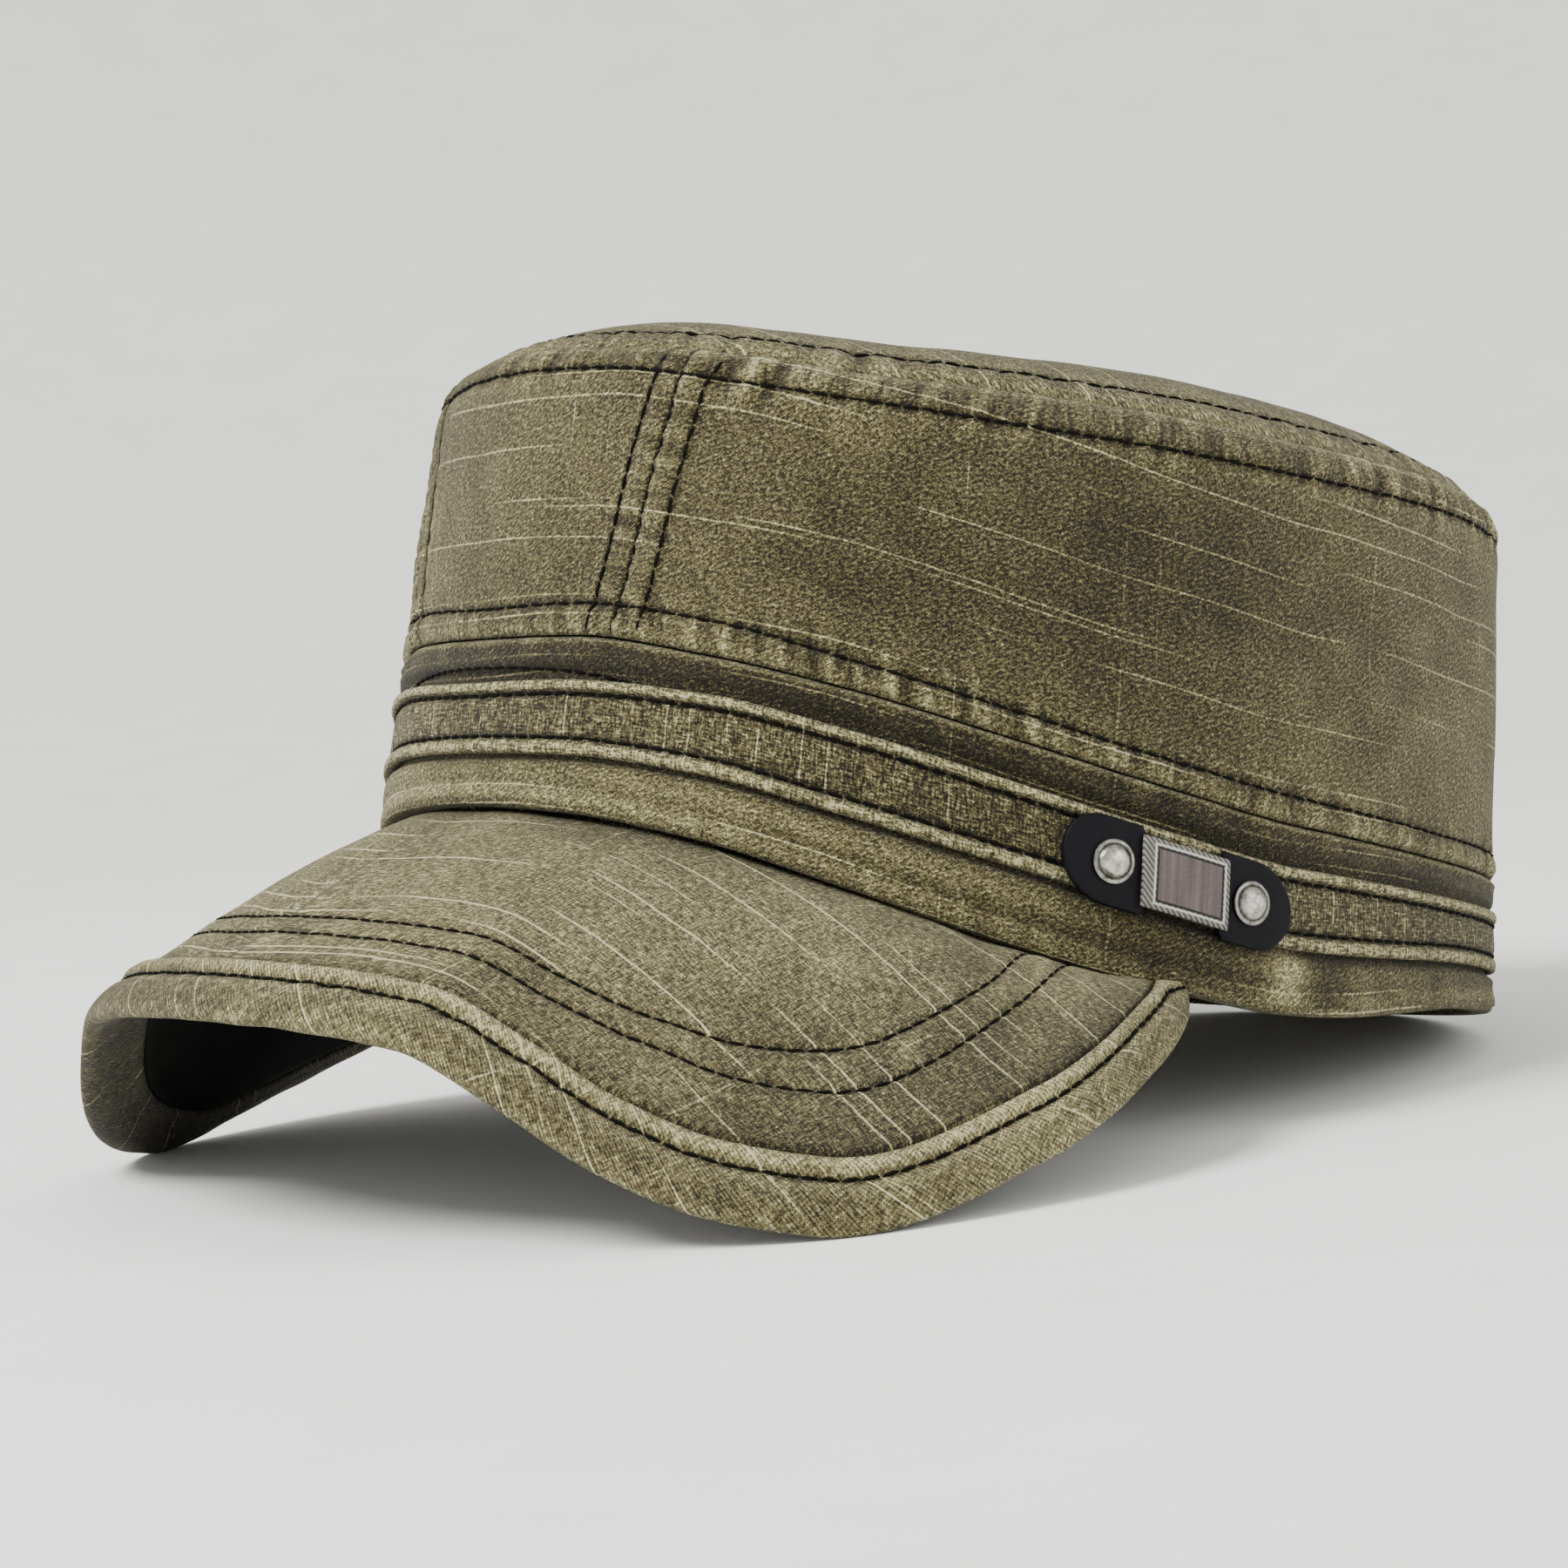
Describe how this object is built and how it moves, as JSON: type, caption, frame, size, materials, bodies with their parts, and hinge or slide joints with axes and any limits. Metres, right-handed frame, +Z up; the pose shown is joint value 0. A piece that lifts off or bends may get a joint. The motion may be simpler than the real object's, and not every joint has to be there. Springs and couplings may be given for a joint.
{
  "type": "army cap",
  "caption": "Flat-topped army cap in washed olive cotton with a curved bound peak, a folded hat band and a small riveted leather strap on the wearer's left side.",
  "frame": {"origin": "centre of the bounding box's bottom, on the surface that the cap rests on", "axes": "+Z up, -Y toward the peak, +Y toward the nape, +X toward the wearer's left side with the strap"},
  "size_m": [0.2152, 0.2646, 0.1351],
  "materials": {
    "crown_cloth": "washed cotton with slubs, worn along its seams",
    "peak_cloth": "washed cotton, finer grid of threads",
    "under_cloth": "black plain cotton",
    "strap_leather": "black, fine grain, burnished edges",
    "label_weave": "grey-mauve woven label, left bare",
    "rivet_metal": "warm silver, domed and brushed"
  },
  "bodies": {
    "root": {"crown_top": "crown_cloth", "crown_front": "crown_cloth", "crown_side_left": "crown_cloth", "crown_side_right": "crown_cloth", "lower_crown_strip": "crown_cloth", "hat_band": "crown_cloth", "head_band": "crown_cloth", "peak_top": "peak_cloth", "peak_underside": "under_cloth", "peak_binding": "peak_cloth", "badge_strap": "strap_leather", "side_label": "label_weave", "rivet_front": "rivet_metal", "rivet_rear": "rivet_metal"}
  },
  "joints": []
}
